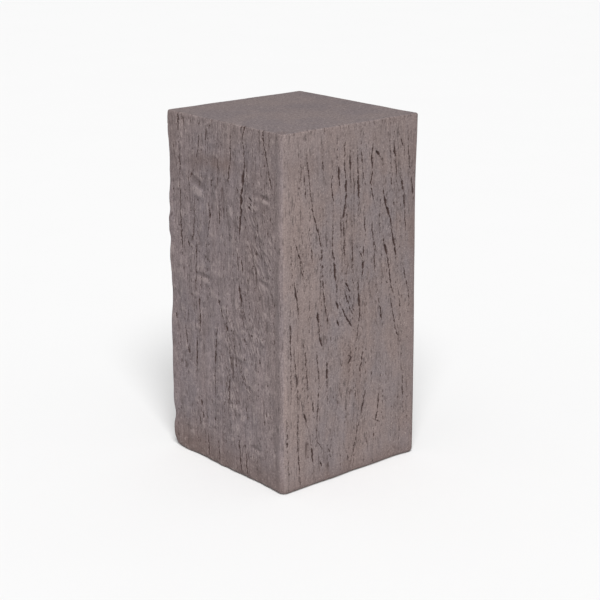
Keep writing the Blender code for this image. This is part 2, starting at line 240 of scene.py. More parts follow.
FAINT_ON_LEFT = (
    (382, 967, 893, -40, FAINT, 10), (461, 984, 911, -20, FAINT), (493, 977, 869, -20, FAINT, 10),
    (329, 980, 918, -30, FAINT), (750, 984, 885, 40, FAINT, 10), (803, 984, 918, 40, FAINT),
    (612, 770, 656, -60, FAINT, 20), (730, 689, 574, 160, FAINT, 20), (329, 689, 590, 40, FAINT, 20),
    (178, 557, 443, -20, FAINT, 10), (586, 262, 148, -20, FAINT, 20), (789, 492, 377, -40, FAINT, 20),
    (493, 197, 98, 20, FAINT, 10), (901, 623, 492, 20, FAINT), (651, 339, 275, 140, FINE, -70),
    (697, 277, 262, 160, THIN, -10), (530, 393, 297, 120, THIN, -50), (507, 290, 216, 140, THIN, -60),
    (553, 226, 213, 150, FAINT, -10), (618, 377, 293, 100, FAINT, -60),
)
CHECKS = ((FRONT, FRONT_CHECKS), (LEFT, LEFT_CHECKS), (FRONT, FAINT_ON_FRONT), (LEFT, FAINT_ON_LEFT))

# Knotty dents of the hewn face, each a hollow over a raised lip: share of the width and height,
# half width, half height, fall across it, and how much deeper than the usual one
DENT_DEPTH = 0.0014
KNOTTY_DENTS = (
    (0.283, 0.801, 0.0125, 0.0092, 0.28, 1.40),
    (0.854, 0.817, 0.0085, 0.0046, 0.20, 1.35),
    (0.309, 0.548, 0.0130, 0.0046, 0.07, 1.15),
    (0.835, 0.583, 0.0100, 0.0050, 0.30, 0.80),
    (0.130, 0.716, 0.0100, 0.0090, 0.10, 0.40),
    (0.560, 0.205, 0.0140, 0.0060, -0.10, 0.50),
    (0.770, 0.100, 0.0100, 0.0045, 0.10, 0.80),
    (0.715, 0.272, 0.0110, 0.0040, 0.35, 0.60),
)

# Each dent's hollow and lip: lift in half heights, shares of the half width and height, and amount
DENT_FORMS = ((0.8, 1.0, 0.6, -1.0), (-0.6, 0.85, 0.8, 0.9))

# The smooth round swelling low on the hewn face, and the areas of fibres torn aslant: share of the
# width and height, half width and half height
SWELLING = (0.740, 0.312, 0.018, 0.020)
SWELLING_HEIGHT = 0.0026
SWELLING_SMOOTHNESS = 1.5
SWELLING_FULLNESS = 1.6
TORN_SLANT = 0.55
TORN_FULLNESS = 1.3
TORN_AREAS = (
    (0.815, 0.680, 0.030, 0.070),
    (0.730, 0.415, 0.030, 0.050),
    (0.570, 0.390, 0.018, 0.045),
    (0.560, 0.230, 0.018, 0.028),
)

# Brown smudges: face, share of the width and height, half width, half height and strength
STAINS = (
    (LEFT, 0.470, 0.885, 0.050, 0.011, 0.80),
    (LEFT, 0.270, 0.865, 0.016, 0.014, 0.50),
    (LEFT, 0.060, 0.900, 0.012, 0.050, 0.45),
    (LEFT, 0.270, 0.828, 0.020, 0.005, 0.50),
    (LEFT, 0.780, 0.720, 0.025, 0.090, 0.30),
    (LEFT, 0.090, 0.045, 0.060, 0.030, 0.60),
    (LEFT, 0.350, 0.020, 0.090, 0.020, 0.50),
    (FRONT, 0.200, 0.905, 0.050, 0.012, 0.35),
    (FRONT, 0.490, 0.345, 0.010, 0.012, 0.50),
    (FRONT, 0.300, 0.100, 0.020, 0.040, 0.20),
    (FRONT, 0.975, 0.550, 0.008, 0.250, 0.45),
    (FRONT, 0.600, 0.010, 0.140, 0.014, 0.50),
)

# Raised lips of torn timber: face, share of the width, shares of the height at the top and bottom
# ends, width and lean
LIP_HEIGHT = 0.0011
LIP_ROUNDNESS = 1.5
LIPS = (
    (LEFT, 0.246, 0.806, 0.784, 0.012, 0.023),
    (LEFT, 0.812, 0.814, 0.808, 0.010, 0.021),
    (LEFT, 0.262, 0.537, 0.533, 0.012, 0.028),
    (LEFT, 0.043, 0.300, 0.250, 0.010, 0.004),
    (LEFT, 0.680, 0.205, 0.180, 0.008, 0.003),
    (LEFT, 0.120, 0.216, 0.208, 0.008, 0.010),
    (FRONT, 0.580, 0.640, 0.612, 0.008, 0.001),
)

# Runs of short ticks: face, number of runs, range of the height and darkness, the darkness being painted
# shade
TICK_RUNS = (
    (FRONT, 90, (0.06, 0.97), 0.80),
    (LEFT, 95, (0.06, 1.00), 0.80),
    (RIGHT, 30, (0.06, 0.95), 0.65),
    (BACK, 30, (0.06, 0.95), 0.65),
)
TICK_PLACES = (0.03, 0.97)
TICKS_IN_A_RUN = (2, 7)
TICK_LENGTHS = (0.003, 0.011)
TICK_WIDTHS = (0.0015, 0.0024)
TICK_GAPS = (0.002, 0.009)
TICK_SLOPES = (-0.03, 0.05)
TICK_DEPTH_SHARE = 0.6
DARKNESS_SPREAD = (0.5, 1.0)
RELIEF_SEED = 20

# Faint broken ends that carry each check on, above and below it, with the shade painted into them
TRAIL_REACH = (0.5, 1.3)
TRAIL_DARKNESS = 0.65
TRAIL_END_DARKNESS = 0.4

# Nicks at the top edge: face, number, range of their length and width, and darkness, the darkness being
# painted shade
EDGE_NICKS = (
    (LEFT, 22, (0.005, 0.030), (0.0020, 0.0036), 0.62),
    (FRONT, 26, (0.004, 0.018), (0.0018, 0.0030), 0.60),
    (RIGHT, 16, (0.004, 0.018), (0.0018, 0.0030), 0.60),
    (BACK, 16, (0.004, 0.018), (0.0018, 0.0030), 0.60),
)
NICK_DEPTH_SHARE = 0.5
NICK_TOP = 1.005
NICK_SCATTER = (0.1, 0.9)
NICK_LEANS = (-0.002, 0.002)

# Checks on the two faces that the photo doesn't show: how many on each, and their ranges
HIDDEN_CHECKS = 24
HIDDEN_WIDTHS = (MIDDLE, FINE, THIN, FINE, WIDE, THIN)
HIDDEN_SCATTER = (0.2, 0.8)
HIDDEN_TOPS = (0.15, 0.97)
HIDDEN_LENGTHS = (0.020, 0.105)
HIDDEN_LEANS = (-0.004, 0.008)

# How a stroke strays sideways from its line and how it swells and shrinks along it: amount, and
# waves as radians per metre, strength and number of their chance phase
WANDER = 0.0005
WANDER_WAVES = ((260, 1.0, 0), (610, 0.6, 1), (1900, 0.4, 2))
BEADING = 0.0007
BEADING_WAVES = ((1500, 1.0, 2), (610, 1.0, 3))

# How full a stroke is along its way, how blunt its ends are, the least that is left of its width,
# how sharply it darkens from its edge inwards, and how far it runs on round a corner
STROKE_FULLNESS = 0.8
STROKE_BLUNTNESS = 0.45
LEAST_FULLNESS = 0.05
STROKE_SHARPNESS = 3.0
LEAST_FACING = 0.4

# Strands and lumps of the timber: size across and along the grain, and seed
BROAD_FIBRES = (0.011, 0.110, 3)
MIDDLE_FIBRES = (0.0050, 0.045, 5)
FINE_FIBRES = (0.0030, 0.020, 8)
TORN_FIBRES = (0.0040, 0.020, 11)
BILLOWS = (0.030, 0.080, 14)
SCOOPS = (0.016, 0.022, 16)
RIPPLES = (0.010, 0.007, 17)
CRUMBS = (0.0034, 0.0050, 18)
RAGGED_AREAS = (0.045, 0.080, 19)
RAGGED_SHARE = 0.5
RAGGED_CONTRAST = 1.2
GROOVE_STEEPNESS = 2.2
MEAN_STRAND = 0.7

# Height that they add on the hewn left face, on the calm front and on the two hidden faces
HEWN, CALM, HIDDEN = range(3)
BILLOW_HEIGHTS = (0.0011, 0.00020, 0.00030)
SCOOP_HEIGHTS = (0.0011, 0, 0)
BROAD_HEIGHTS = (0.0004, 0.00008, 0.00020)
RIPPLE_HEIGHTS = (0.00034, 0, 0)
CRUMB_HEIGHTS = (0.00018, 0.00006, 0)
MIDDLE_HEIGHTS = (0.00012, 0, 0)
RAGGED_MIDDLE_HEIGHTS = (0.00026, 0.00010, 0.00016)
FINE_HEIGHTS = (0.00006, 0.00010, 0)
RAGGED_FINE_HEIGHTS = (0.00016, 0, 0)
TORN_HEIGHT = 0.0009

# The front corner's smooth strip: how much calmer it is, and how wide
CORNER_CALM = 0.8
CORNER_CALM_WIDTH = 0.018

# Wandering rifts: area, size across and along the grain, seed and lean, then width, depth, darkness
# (painted shade)
RIFTS = (
    (HEWN, (0.024, 0.300, 51, 0.0), 0.0024, 0.0012, 0.42),
    (HEWN, (0.013, 0.120, 54, 0.0), 0.0020, 0.0010, 0.45),
    (CALM, (0.015, 0.260, 57, 0.04), 0.0018, 0.0008, 0.50),
    (HIDDEN, (0.024, 0.240, 63, 0.0), 0.0022, 0.0012, 0.60),
)
RIFT_SHARPNESS = 2.0
LEAST_SLOPE = 0.7

# Dashes and groups of dashes that rifts are broken into: size across and along the grain, the share
# of a rift that each leaves, and how clear the breaks are
DASHES = (0.0060, 0.0150)
DASH_SHARE = 0.25
DASH_GROUPS = (0.0300, 0.0700)
GROUP_SHARE = 0.40
DASH_CONTRAST = 1.6

# Pits: area, size across and along the grain and seed, then threshold, depth, darkness (painted shade), and
# how many there are in smooth areas
PITS = (
    (HEWN, (0.0026, 0.0045, 23), 0.58, 0.0009, 0.68, 0.35),
    (CALM, (0.0022, 0.0060, 27), 0.72, 0.0005, 0.25, 0.30),
)
TORN_PITS = 0.5
PIT_STEEPNESS = 2.5

# How sunken a point looks beside the mean of a window, which paints shade into hollows and highlights
# onto ridges: windows as share, rows and columns, the share of checks in it, the depth of a fully
# sunken point, and the wear and painted highlight of the edges
CAVITY_WINDOWS = ((0.6, 9, 11), (0.4, 21, 31))
CAVITY_OF_CHECKS = 0.15
CAVITY_SCALE = 0.0006
ARRIS_WEAR_AND_HIGHLIGHT = 0.30
CORNER_WEAR_AND_HIGHLIGHT_SHARE = 0.6

# The top's unevenness: size, depth and seed
TOP_UNEVENNESS = ((0.055, 0.00030, 41), (0.016, 0.00010, 43), (0.005, 0.00005, 47))

# The top's faint dip beside the front corner with the shade painted into it, and how far from the rim its
# unevenness sets in
DIP_PLACE = (-0.137, -0.139)
DIP_HALF_WIDTH = 0.009
DIP_DEPTH = 0.0014
DIP_PAINTED_SHADE = 0.6
TOP_FADE = 0.006

# Noises of the timber's colour: fineness, how it is stretched, detail and roughness
CLOUDS = (13.0, (1, 1, 0.6), 4.0, 0.6)
HUES = (21.0, (1, 1, 0.5), 4.0, 0.6)
STREAKS = (150.0, (1, 1, 0.07), 3.0, 0.6)
THREADS = (420.0, (1, 1, 0.22), 3.0, 0.65)
FLECKS = (260.0, (1, 1, 0.22), 2.0, 0.5)
BANDS = (55.0, (1, 1, 0.06), 3.0, 0.6)
GRAIN = (380.0, (1, 1, 0.9), 4.0, 0.75)
SPECKLE = (210.0, (1, 1, 1), 4.0, 0.7)
FLOOR_MOTTLE = (3.0, (1, 1, 1), 3.0, 0.55)

# Linear colours of the timber, some of them painted shade and highlight
COOL = (0.200, 0.168, 0.173, 1.0)
# Mauve tone of the left face, partly painted shade
LEFT_MAUVE_AND_SHADE = (0.206, 0.170, 0.186, 1.0)
WARM = (0.236, 0.183, 0.172, 1.0)
BROWN = (0.208, 0.154, 0.141, 1.0)
DARK = (0.072, 0.054, 0.052, 1.0)
PALE = (0.390, 0.324, 0.308, 1.0)
FOOT_BROWN = (0.146, 0.103, 0.094, 1.0)
# Painted highlight beside the front corner
FRONT_CORNER_HIGHLIGHT = (0.276, 0.214, 0.200, 1.0)
# The top's colours: darker copies of the sides' colours, as painted shade on the top
SHADED_TOP_COOL = (0.182, 0.150, 0.155, 1.0)
SHADED_TOP_WARM = (0.212, 0.170, 0.166, 1.0)
# Painted shade for the inside of the checks, ticks, nicks, rifts and pits
CHECK_SHADE_BROWN = (0.046, 0.026, 0.023, 1.0)
FLOOR_WHITE = (0.85, 0.85, 0.85, 1.0)
FLOOR_SHADE = (0.83725, 0.83725, 0.83725, 1.0)
WORLD_WHITE = (1.0, 1.0, 1.0, 1.0)

# Sheen of the timber, height of its finest bumps, and roughness and width of the floor
TIMBER_SHEEN = 0.30
BUMP_HEIGHT = 0.0010
FLOOR_ROUGHNESS = 0.9
FLOOR_WIDTH = 60.0

# The photo's viewpoint: angles in degrees, lens in millimetres, the rest in metres
VIEW_AZIMUTH = -40.5625
VIEW_ELEVATION = 17.0146
VIEW_ROLL = -0.0906
VIEW_DISTANCE = 2.68854
VIEW_AIM = (0.01386, -0.02612)
VIEW_LENS = 92.76
SENSOR_WIDTH = 36.0
VIEW_REACH = (0.05, 80.0)

# Studio light: an even surround, and one wide lamp with the azimuth and elevation it shines from
WORLD_STRENGTH = 0.38
KEY_AZIMUTH = -37.0
KEY_ELEVATION = 48.0
KEY_ANGLE = 25.0
KEY_STRENGTH = 3.3

# Fineness of the relief before it is thinned to its budget of triangles
FACE_COLUMNS = (440, 150, 150, 440)
BODY_ROWS = 390
CORNER_STEPS = 14
FOOT_STEPS = 8
TOP_STEPS = 5
TOP_RINGS = 44
RING_CROWDING = 1.25
TRIANGLE_BUDGET = 192000

# Whole numbers that scatter the noise's values
PLACE_PRIMES = (73856093, 19349663, 83492791)
SEED_PRIME = 40503
MIXING_PRIME = 1274126177
MIXING_SHIFT = 15
MIXING_BITS = 0x7FFFFFFF
VALUE_SHIFT = 8
VALUE_BITS = 0xFFFF

# Each face runs along one direction and looks out along another
ALONG = np.array([(1, 0), (0, 1), (-1, 0), (0, -1)], dtype=float)
OUTWARD = np.array([(0, -1), (1, 0), (0, 1), (-1, 0)], dtype=float)


def face_length(face):
    """Width of a mean face, from corner to corner before rounding."""
    return MEAN_SIZES[face % 2]


def face_start(face):
    """The square corner where a mean face begins."""
    return (OUTWARD[face] - ALONG[face]) * np.array(MEAN_SIZES) / 2


def bell(distance, half_width):
    """A smooth bump of height 1, nearly gone at twice its half width."""
    return np.exp2(-((distance / half_width) ** 2))


def swell(points):
    """Smooth unevenness, mostly within -2 to 2, from sine waves that are long up the grain."""
    chance = np.random.default_rng(WAVE_SEED)
    total = np.zeros(points.shape[:-1])
    for _ in range(WAVES):
        turn = chance.uniform(0, 2 * math.pi)
        quickness = 2 * math.pi * chance.uniform(*WAVE_SPREAD)
        across = quickness / WAVE_ACROSS_GRAIN
        up = quickness / WAVE_ALONG_GRAIN * chance.choice((-1, 1))
        wave = np.array([math.cos(turn) * across, math.sin(turn) * across, up])
        total += np.sin(points @ wave + chance.uniform(0, 2 * math.pi))
    return total / math.sqrt(WAVES / 2)


def stand_out(points, facing, relief):
    """How far the surface stands out from the mean faces: the solid's form, with relief on it."""
    height = points[..., 2]
    out = (facing @ np.array(FACE_UNEVENNESS)) * swell(points) + relief
    for face, level, amount, half_length in CORNER_BUMPS:
        distance = np.linalg.norm(points[..., :2] - face_start(face), axis=-1)
        reach = bell(distance, CORNER_BUMP_SPREAD)
        out += amount * reach * bell(height - level * BLOCK_HEIGHT, half_length)
    for face, share, level, half_width, half_height, amount in DENTS:
        across = (points[..., :2] - face_start(face)) @ ALONG[face]
        reach = facing[..., face] * bell(across - share * face_length(face), half_width)
        out += amount * reach * bell(height - level * BLOCK_HEIGHT, half_height)
    setback = (points[..., :2] - face_start(FRONT)) @ -ALONG[LEFT]
    hollow = facing[..., LEFT] * bell(setback - HOLLOW_SETBACK, HOLLOW_WIDTH / 2)
    out -= HOLLOW_DEPTH * hollow * (1 - bell(height, HOLLOW_WIDTH))
    return HEWING_ALLOWANCE * np.tanh(out / HEWING_ALLOWANCE)


def outline():
    """Places and outward directions round the mean block, with its vertical corners rounded."""
    places = []
    directions = []
    for face in range(4):
        radius = CORNER_RADII[face]
        before = OUTWARD[face - 1]
        centre = face_start(face) + radius * (ALONG[face] - OUTWARD[face])
        for turn in np.linspace(0, math.pi / 2, CORNER_STEPS + 1):
            direction = math.cos(turn) * before + math.sin(turn) * OUTWARD[face]
            places.append(centre + radius * direction)
            directions.append(direction)
        straight = face_length(face) - radius - CORNER_RADII[(face + 1) % 4]
        for share in np.arange(1, FACE_COLUMNS[face]) / FACE_COLUMNS[face]:
            places.append(centre + radius * OUTWARD[face] + share * straight * ALONG[face])
            directions.append(OUTWARD[face])
    return np.array(places), np.array(directions)


def rows():
    """Height of each row of points and how far the edge roundings draw it in."""
    shoulder = BLOCK_HEIGHT - TOP_EDGE_RADIUS
    made = []
    for turn in np.linspace(math.pi / 2, 0, FOOT_STEPS + 1)[:-1]:
        made.append((FOOT_RADIUS * (1 - math.sin(turn)), FOOT_RADIUS * (1 - math.cos(turn))))
    for height in np.linspace(FOOT_RADIUS, shoulder, BODY_ROWS):
        made.append((height, 0.0))
    for turn in np.linspace(0, math.pi / 2, TOP_STEPS + 1)[1:]:
        lift = TOP_EDGE_RADIUS * math.sin(turn)
        made.append((shoulder + lift, TOP_EDGE_RADIUS * (1 - math.cos(turn))))
    return np.array(made)


def chance_noise(points, size, seed):
    """Smooth seeded noise from -1 to 1, with bumps of the given size along X, Y and Z."""
    cell = points / np.array(size)
    corner = np.floor(cell).astype(np.int64)
    part = (cell - corner).astype(np.float32)
    part = part * part * (3 - 2 * part)
    total = np.zeros(points.shape[:-1], dtype=np.float32)
    for offset in itertools.product((0, 1), repeat=3):
        key = (corner + offset) * np.array(PLACE_PRIMES)
        mixed = key[..., 0] ^ key[..., 1] ^ key[..., 2] ^ (seed * SEED_PRIME)
        for _ in range(2):
            mixed = (mixed ^ (mixed >> MIXING_SHIFT)) * MIXING_PRIME & MIXING_BITS
        value = (mixed >> VALUE_SHIFT & VALUE_BITS).astype(np.float32) / (VALUE_BITS / 2) - 1
        weight = np.prod(np.where(offset, part, 1 - part), axis=-1)
        total += weight * value
    return total


class Relief:
    """What lies on the block's sides, as rows by columns: swelling, cuts, the shade painted into the cuts,
    and stains.
    """

    def __init__(self):
        self.places, self.directions = outline()
        self.levels, self.insets = rows().T
        self.facing = np.maximum(self.directions @ OUTWARD.T, 0) ** 2
        self.points = np.empty((len(self.levels), len(self.places), 3))
        self.points[..., :2] = self.places
        self.points[..., 2] = self.levels[:, None]
        self.height = np.zeros(self.points.shape[:2])
        self.depth = np.zeros(self.points.shape[:2])
        # The shade painted into the cuts, and the stains
        self.split = np.zeros(self.points.shape[:2])
        self.stain_and_dip_shade = np.zeros(self.points.shape[:2])

    def noise(self, across, along, seed, lean=0.0):
        """Noise drawn out up the grain; lean is how far its bumps move across per metre of fall."""
        points = self.points
        if lean:
            points = points.copy()
            shift = lean * (BLOCK_HEIGHT - points[..., 2])
            points[..., :2] -= shift[..., None] * (self.facing @ ALONG)
        return chance_noise(points, (across, across, along), seed)

    def strands(self, across, along, seed, lean=0.0):
        """Fibres side by side, rounded, with narrow grooves between them, level on the whole."""
        return np.minimum(1, GROOVE_STEEPNESS * np.abs(self.noise(across, along, seed, lean))) - MEAN_STRAND

    def patch(self, face, share, level, half_width, half_height, fall=0.0):
        """A soft patch on one face, 1 in its middle; fall is how steeply it sinks to the right."""
        across = (self.places - face_start(face)) @ ALONG[face] - share * face_length(face)
        upward = self.levels[:, None] - level * BLOCK_HEIGHT + fall * across
        return self.facing[:, face] * bell(across, half_width) * bell(upward, half_height)

    def stroke(self, chance, face, share, top, bottom, width, lean, bow=0.0):
        """Where one stroke along the grain lies, and its cross profile there, fullest in its middle."""
        across = (self.places - face_start(face)) @ ALONG[face]
        start = share * face_length(face)
        reach = width + abs(lean) / 2 + abs(bow) + 2 * WANDER
        near = np.abs(across - start - lean / 2) < reach
        columns = np.flatnonzero(near & (self.facing[:, face] > LEAST_FACING))
        length = (top - bottom) * BLOCK_HEIGHT
        t = (top * BLOCK_HEIGHT - self.levels) / length
        lines = np.flatnonzero((t > 0) & (t < 1))
        t = t[lines, None]
        phases = chance.uniform(0, 2 * math.pi, 4)

        def ripple(waves):
            """Some waves along the stroke, put together."""
            return sum(part * np.sin(length * pace * t + phases[number]) for pace, part, number in waves)

        middle = start + lean * t + bow * np.sin(math.pi * t) + WANDER * ripple(WANDER_WAVES)
        fullness = np.sin(math.pi * t) ** STROKE_BLUNTNESS
        fullness *= STROKE_FULLNESS + BEADING / width * ripple(BEADING_WAVES)
        half = width / 2 * np.maximum(fullness, LEAST_FULLNESS)
        profile = np.clip(1 - np.abs(across[columns] - middle) / half, 0, 1)
        return np.ix_(lines, columns), profile * fullness

    def cut(self, chance, stroke, depth, darkness):
        """Cuts one stroke into the surface and paints shade into it."""
        place, profile = self.stroke(chance, *stroke)
        self.depth[place] = np.maximum(self.depth[place], depth * profile)
        dark = darkness * np.clip(STROKE_SHARPNESS * profile, 0, 1)
        self.split[place] = np.maximum(self.split[place], dark)

    def raise_lip(self, chance, stroke):
        """Raises one stroke above the surface as a soft lip."""
        place, profile = self.stroke(chance, *stroke)
        self.height[place] += LIP_HEIGHT * profile**LIP_ROUNDNESS

    def pits(self, size, threshold, depth, darkness, where):
        """Small torn hollows wherever a noise passes its threshold, with shade painted into them."""
        field = self.noise(*size)
        amount = np.clip((field - threshold) / (1 - threshold) * PIT_STEEPNESS, 0, 1) * where
        self.depth = np.maximum(self.depth, depth * amount)
        self.split = np.maximum(self.split, darkness * amount)

    def rifts(self, size, width, depth, darkness, where):
        """Long wandering cracks up the grain, broken into dashes, with shade painted into them."""
        across, _, seed, lean = size
        field = self.noise(*size)
        pitch = np.linalg.norm(np.roll(self.places, -1, axis=0) - self.places, axis=1)
        slope = np.abs(np.roll(field, -1, axis=1) - field) / pitch
        distance = np.abs(field) / np.maximum(slope, LEAST_SLOPE / across)
        dashes = np.clip(DASH_SHARE + DASH_CONTRAST * self.noise(*DASHES, seed + 1, lean), 0, 1)
        groups = np.clip(GROUP_SHARE + DASH_CONTRAST * self.noise(*DASH_GROUPS, seed + 2), 0, 1)
        amount = np.clip(1 - 2 * distance / width, 0, 1) * dashes * groups * where
        self.depth = np.maximum(self.depth, depth * amount)
        self.split = np.maximum(self.split, darkness * np.clip(RIFT_SHARPNESS * amount, 0, 1))

    def surface(self):
        """Final places of the side points."""
        reach = stand_out(self.points, self.facing, self.height) - self.depth
        reach -= self.insets[:, None]
        made = self.points.copy()
        made[..., :2] += self.directions * reach[..., None]
        return made


def fibres(relief):
    """The hewn, fibrous left face, the calmer front, and the faces between in keeping."""
    near_corner = np.linalg.norm(relief.places - face_start(FRONT), axis=1)
    calm = 1 - CORNER_CALM * bell(near_corner, CORNER_CALM_WIDTH)
    hidden = relief.facing[:, RIGHT] + relief.facing[:, BACK]
    areas = np.stack([relief.facing[:, LEFT] * calm, relief.facing[:, FRONT] * calm, hidden])
    broad, middle, fine = (relief.strands(*size) for size in (BROAD_FIBRES, MIDDLE_FIBRES, FINE_FIBRES))
    billows, scoops, ripples, crumbs = (relief.noise(*size) for size in (BILLOWS, SCOOPS, RIPPLES, CRUMBS))
    ragged = np.clip(RAGGED_SHARE + RAGGED_CONTRAST * relief.noise(*RAGGED_AREAS), 0, 1)
    swelling = relief.patch(LEFT, *SWELLING)
    beside_swelling = 1 - np.clip(SWELLING_SMOOTHNESS * swelling, 0, 1)
    torn_area = np.clip(TORN_FULLNESS * sum(relief.patch(LEFT, *area) for area in TORN_AREAS), 0, 1)
    for unevenness, heights in (
        (billows * beside_swelling, BILLOW_HEIGHTS),
        (scoops * beside_swelling, SCOOP_HEIGHTS),
        (broad * beside_swelling, BROAD_HEIGHTS),
        (ripples, RIPPLE_HEIGHTS),
        (crumbs, CRUMB_HEIGHTS),
        (middle * (1 - torn_area), MIDDLE_HEIGHTS),
        (ragged * middle * (1 - torn_area), RAGGED_MIDDLE_HEIGHTS),
        (fine, FINE_HEIGHTS),
        (ragged * fine, RAGGED_FINE_HEIGHTS),
    ):
        relief.height += unevenness * (np.array(heights) @ areas)
    relief.height += TORN_HEIGHT * torn_area * relief.strands(*TORN_FIBRES, lean=TORN_SLANT)
    relief.height += SWELLING_HEIGHT * np.clip(SWELLING_FULLNESS * swelling, 0, 1)
    for area, *rift in RIFTS:
        relief.rifts(*rift, areas[area])
    for area, *pit, smooth_share in PITS:
        share = smooth_share + (1 - smooth_share) * ragged + TORN_PITS * torn_area
        relief.pits(*pit, areas[area] * share)


def knotty_dents(relief):
    """Dents with a hollow above and a lip below, on the hewn face."""
    for share, level, half_width, half_height, fall, strength in KNOTTY_DENTS:
        for lift, width, height, amount in DENT_FORMS:
            middle = level + lift * half_height / BLOCK_HEIGHT
            form = relief.patch(LEFT, share, middle, width * half_width, height * half_height, fall)
            relief.height += DENT_DEPTH * strength * amount * form


def trails(relief, chance, face, share, top, bottom, lean):
    """Short faint ticks that carry one check on in its own direction, at both its ends."""
    length = (top - bottom) * BLOCK_HEIGHT
    for end in (0, 1):
        reach = length * chance.uniform(*TRAIL_REACH)
        gone = chance.uniform(*TICK_GAPS) / 2
        while gone < reach:
            tick = chance.uniform(*TICK_LENGTHS)
            far = 1 + gone / length if end else -(gone + tick) / length
            level = top - far * (top - bottom)
            across = share + lean * far / face_length(face)
            width = chance.uniform(*TICK_WIDTHS)
            stroke = (face, across, level, level - tick / BLOCK_HEIGHT, width, lean * tick / length)
            dark = TRAIL_DARKNESS * (1 - (1 - TRAIL_END_DARKNESS) * gone / reach)
            relief.cut(chance, stroke, TICK_DEPTH_SHARE * width, dark)
            gone += tick + chance.uniform(*TICK_GAPS)


def drying_check(relief, chance, face, share, top, bottom, width, lean, bow=0.0):
    """One check, with the faint ticks that carry it on."""
    relief.cut(chance, (face, share, top, bottom, width, lean, bow), *CHECK_CUTS[width])
    trails(relief, chance, face, share, top, bottom, lean)


def hidden_checks(relief, chance):
    """Checks in keeping with the seen ones, on the right and back faces."""
    for face in (RIGHT, BACK):
        for number in range(HIDDEN_CHECKS):
            width = HIDDEN_WIDTHS[number % len(HIDDEN_WIDTHS)]
            share = (number + chance.uniform(*HIDDEN_SCATTER)) / HIDDEN_CHECKS
            top = chance.uniform(*HIDDEN_TOPS)
            bottom = top - chance.uniform(*HIDDEN_LENGTHS) / BLOCK_HEIGHT
            lean = chance.uniform(*HIDDEN_LEANS)
            drying_check(relief, chance, face, share, top, bottom, width, lean)


def short_ticks(relief, chance):
    """Fine broken drying checks, one short tick below another, scattered over each face."""
    for face, count, levels, darkness in TICK_RUNS:
        for _ in range(count):
            share = chance.uniform(*TICK_PLACES)
            level = chance.uniform(*levels)
            slope = chance.uniform(*TICK_SLOPES)
            for _ in range(chance.integers(*TICKS_IN_A_RUN)):
                length = chance.uniform(*TICK_LENGTHS)
                gap = chance.uniform(*TICK_GAPS)
                width = chance.uniform(*TICK_WIDTHS)
                dark = darkness * chance.uniform(*DARKNESS_SPREAD)
                bottom = level - length / BLOCK_HEIGHT
                tick = (face, share, level, bottom, width, slope * length)
                relief.cut(chance, tick, TICK_DEPTH_SHARE * width, dark)
                level = bottom - gap / BLOCK_HEIGHT
                share += slope * (length + gap) / face_length(face)


def edge_nicks(relief, chance):
    """Small nicks and grooves that run out at the top edge."""
    for face, count, lengths, widths, darkness in EDGE_NICKS:
        for number in range(count):
            share = (number + chance.uniform(*NICK_SCATTER)) / count
            bottom = NICK_TOP - chance.uniform(*lengths) / BLOCK_HEIGHT
            width = chance.uniform(*widths)
            lean = chance.uniform(*NICK_LEANS)
            dark = darkness * chance.uniform(*DARKNESS_SPREAD)
            nick = (face, share, NICK_TOP, bottom, width, lean)
            relief.cut(chance, nick, NICK_DEPTH_SHARE * width, dark)


def sides():
    """The whole relief of the four sides."""
    relief = Relief()
    chance = np.random.default_rng(RELIEF_SEED)
    fibres(relief)
    knotty_dents(relief)
    for *place, strength in STAINS:
        relief.stain_and_dip_shade += strength * relief.patch(*place)
    for lip in LIPS:
        relief.raise_lip(chance, lip)
    for face, checks in CHECKS:
        for share, top, bottom, lean, width, *bow in checks:
            shares = (share / FACE_PARTS, top / FACE_PARTS, bottom / FACE_PARTS)
            bends = [part / METRE_PARTS for part in (lean, *bow)]
            drying_check(relief, chance, face, *shares, width, *bends)
    short_ticks(relief, chance)
    edge_nicks(relief, chance)
    hidden_checks(relief, chance)
    return relief


def smeared(values, rows_wide, columns_wide):
    """Running mean over a window, round the block and up it."""
    for axis, width in ((0, rows_wide), (1, columns_wide)):
        edge = "edge" if axis == 0 else "wrap"
        margins = [(0, 0), (0, 0)]
        margins[axis] = (width // 2 + 1, width // 2)
        summed = np.cumsum(np.pad(values, margins, mode=edge), axis=axis)
        upper = np.take(summed, np.arange(width, summed.shape[axis]), axis=axis)
        lower = np.take(summed, np.arange(summed.shape[axis] - width), axis=axis)
        values = (upper - lower) / width
    return values


def in_dip(points):
    """How far into the top's dip points lie, 1 in its middle."""
    return bell(np.linalg.norm(points[..., :2] - np.array(DIP_PLACE), axis=-1), DIP_HALF_WIDTH)


def top_rings(rim):
    """Rings of points from the rim to the middle of the top, with its faint unevenness and dip."""
    shares = (np.arange(1, TOP_RINGS) / TOP_RINGS) ** RING_CROWDING
    flat = rim[None, :, :2] * (1 - shares[:, None, None])
    spots = np.concatenate([flat, np.full(flat.shape[:2] + (1,), BLOCK_HEIGHT)], axis=-1)
    uneven = DIP_DEPTH * in_dip(spots)
    for size, depth, seed in TOP_UNEVENNESS:
        uneven += depth * (1 + chance_noise(spots, (size, size, 1), seed))
    from_rim = np.linalg.norm(spots[..., :2] - rim[None, :, :2], axis=-1)
    spots[..., 2] -= uneven * np.clip(from_rim / TOP_FADE, 0, 1)
    return spots


